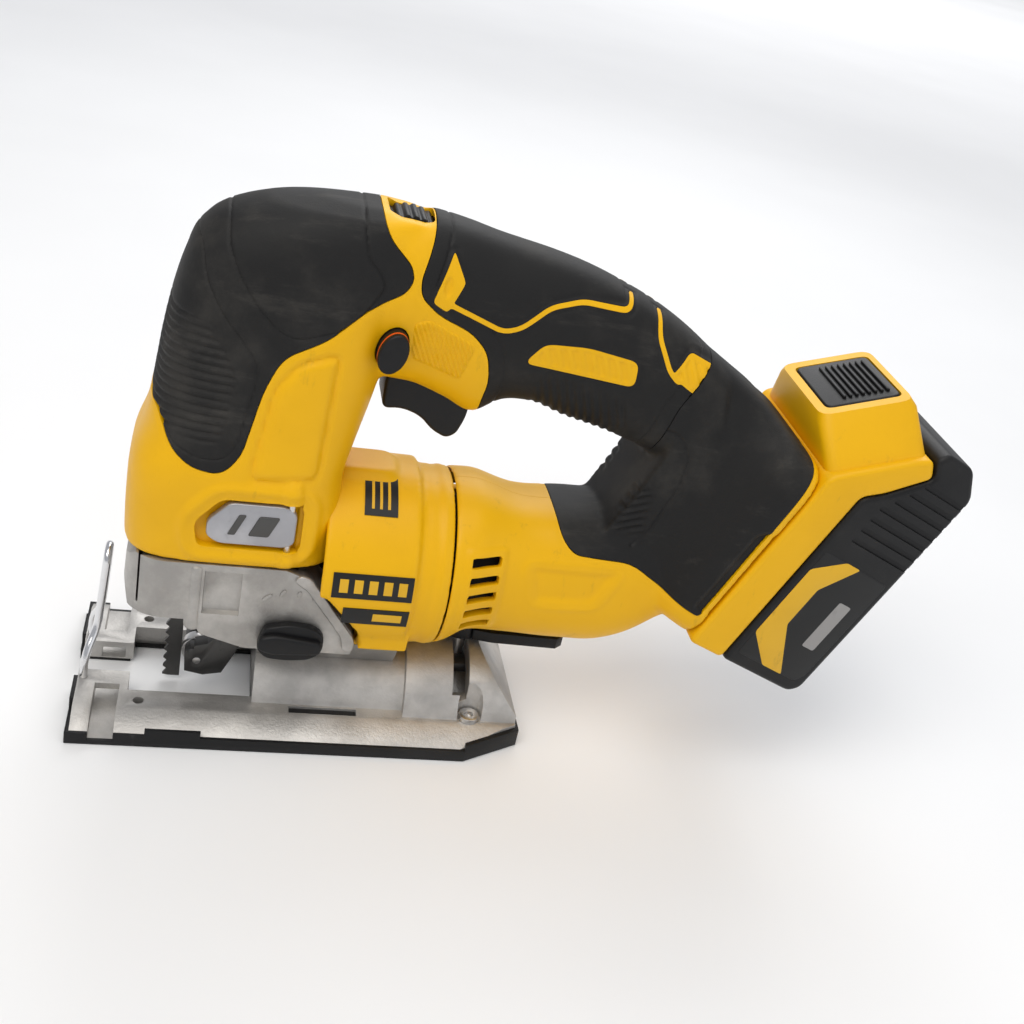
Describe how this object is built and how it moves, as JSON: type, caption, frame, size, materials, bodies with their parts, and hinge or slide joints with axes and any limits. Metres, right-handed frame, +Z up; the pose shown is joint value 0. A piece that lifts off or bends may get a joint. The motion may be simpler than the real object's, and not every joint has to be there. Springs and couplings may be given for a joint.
{
  "type": "cordless jigsaw",
  "caption": "Cordless jigsaw with a D-handle, bevelling shoe, orbital blade drive and slide-on battery pack.",
  "frame": {"origin": "centre of the underside of the shoe, where the tool stands", "axes": "+X rearward from the blade to the battery pack, +Z up, -Y the tool's left side"},
  "size_m": [0.3189, 0.083, 0.2024],
  "materials": {
    "yellow_casing": "fine moulded texture",
    "black_rubber": "soft matt overmould",
    "black_plastic": "moulded",
    "cast_aluminium": "die cast",
    "silver_paint": "satin",
    "bright_steel": "ground",
    "dark_steel": "blackened",
    "chrome_wire": "plated",
    "bronze": "sintered",
    "motor_iron": "laminated and wound",
    "clear_lens": "clear",
    "green_board": "varnished",
    "cell_metal": "sleeved"
  },
  "bodies": {
    "housing": {"casing_left": "yellow_casing", "casing_right": "yellow_casing", "nose_grip": "black_rubber", "handle_grip": "black_rubber", "foot_grip": "black_rubber", "casing_screws": "dark_steel", "motor_housing": "yellow_casing", "gear_case": "cast_aluminium", "gear_frame": "cast_aluminium", "lower_plunger_bush": "bronze", "upper_plunger_bush": "bronze", "gear_bearing": "bright_steel", "front_motor_bearing": "bright_steel", "rear_motor_bearing": "bright_steel", "stator": "motor_iron", "lamp_lens": "clear_lens", "bracket_pin": "bright_steel", "lever_pin": "bright_steel", "trigger_switch": "black_plastic", "control_board": "green_board", "clamp_bolt": "bright_steel", "clamp_plate": "dark_steel", "terminal_block": "black_plastic", "foot_rails": "bright_steel"},
    "plunger": {"plunger": "bright_steel", "blade_clamp": "dark_steel", "saw_blade": "dark_steel"},
    "crank": {"drive_gear": "dark_steel", "counterweight": "dark_steel", "gear_shaft": "bright_steel", "crank_pin": "bright_steel"},
    "rotor": {"pinion": "dark_steel", "rotor_shaft": "bright_steel", "rotor_core": "motor_iron", "fan": "black_plastic"},
    "roller_arm": {"roller_bracket": "dark_steel", "roller_pin": "bright_steel"},
    "roller": {"guide_roller": "bright_steel"},
    "release_lever": {"release_lever": "silver_paint"},
    "orbital_knob": {"orbital_knob": "black_plastic"},
    "speed_dial": {"speed_dial": "black_plastic"},
    "trigger": {"trigger": "black_plastic"},
    "lock_button": {"lock_button": "black_plastic"},
    "bevel_lever": {"bevel_lever": "black_plastic"},
    "shoe": {"shoe_casting": "cast_aluminium", "sole_cover": "black_plastic", "wire_guard": "chrome_wire", "shoe_screws": "bright_steel"},
    "pack": {"pack_cap": "yellow_casing", "pack_case": "black_plastic", "pack_cells": "cell_metal"},
    "pack_button": {"pack_button": "black_plastic"}
  },
  "joints": [
    {"name": "gear_spin", "type": "hinge", "parent": "housing", "child": "crank", "pos_m": [-0.0265, 0, 0.0956], "axis": [1, 0, 0], "range_deg": [0, 180]},
    {"name": "plunger_stroke", "type": "slide", "parent": "housing", "child": "plunger", "axis": [0, 0, -1], "range_m": [0, 0.026]},
    {"name": "rotor_spin", "type": "hinge", "parent": "housing", "child": "rotor", "pos_m": [0.0145, 0, 0.068], "axis": [1, 0, 0], "range_deg": [-1200.5, 0.5]},
    {"name": "orbital_swing", "type": "hinge", "parent": "housing", "child": "roller_arm", "pos_m": [-0.0255, 0, 0.0365], "axis": [0, -1, 0], "range_deg": [0, 2.5]},
    {"name": "roller_spin", "type": "hinge", "parent": "roller_arm", "child": "roller", "pos_m": [-0.0412, 0, 0.016], "axis": [0, 1, 0], "continuous": true},
    {"name": "release_lever_swing", "type": "hinge", "parent": "housing", "child": "release_lever", "pos_m": [-0.0145, -0.0302, 0.092], "axis": [0, 0, 1], "range_deg": [0, 60], "stiffness_Nm_per_rad": 0.05, "springref_deg": -11.46},
    {"name": "orbital_knob_turn", "type": "hinge", "parent": "housing", "child": "orbital_knob", "pos_m": [-0.0105, -0.034, 0.047], "axis": [0, 1, 0], "range_deg": [0, 90]},
    {"name": "speed_dial_turn", "type": "hinge", "parent": "housing", "child": "speed_dial", "pos_m": [0.0135, 0, 0.187], "axis": [0, 1, 0], "range_deg": [0, 270]},
    {"name": "trigger_pull", "type": "slide", "parent": "housing", "child": "trigger", "axis": [0, 0, 1], "range_m": [0, 0.006], "stiffness_N_per_m": 400, "springref_m": -0.003},
    {"name": "lock_button_slide", "type": "slide", "parent": "housing", "child": "lock_button", "axis": [0, -1, 0], "range_m": [0, 0.004]},
    {"name": "bevel_lever_swing", "type": "hinge", "parent": "housing", "child": "bevel_lever", "pos_m": [0.0605, 0, 0.036], "axis": [0, 0, -1], "range_deg": [0, 60]},
    {"name": "shoe_bevel", "type": "hinge", "parent": "housing", "child": "shoe", "pos_m": [0, 0, 0.004], "axis": [1, 0, 0], "range_deg": [-45, 45]},
    {"name": "pack_slide", "type": "slide", "parent": "housing", "child": "pack", "axis": [0.3987, 0, 0.9171], "range_m": [0, 0.09]},
    {"name": "pack_button_press", "type": "slide", "parent": "pack", "child": "pack_button", "axis": [0.3016, 0, -0.9534], "range_m": [0, 0.003], "stiffness_N_per_m": 700, "springref_m": -0.002}
  ],
  "couplings": [
    {"joint": "plunger_stroke", "follows": "gear_spin", "m_per_rad": 0.0082761},
    {"joint": "rotor_spin", "follows": "gear_spin", "ratio": -6.6667}
  ]
}
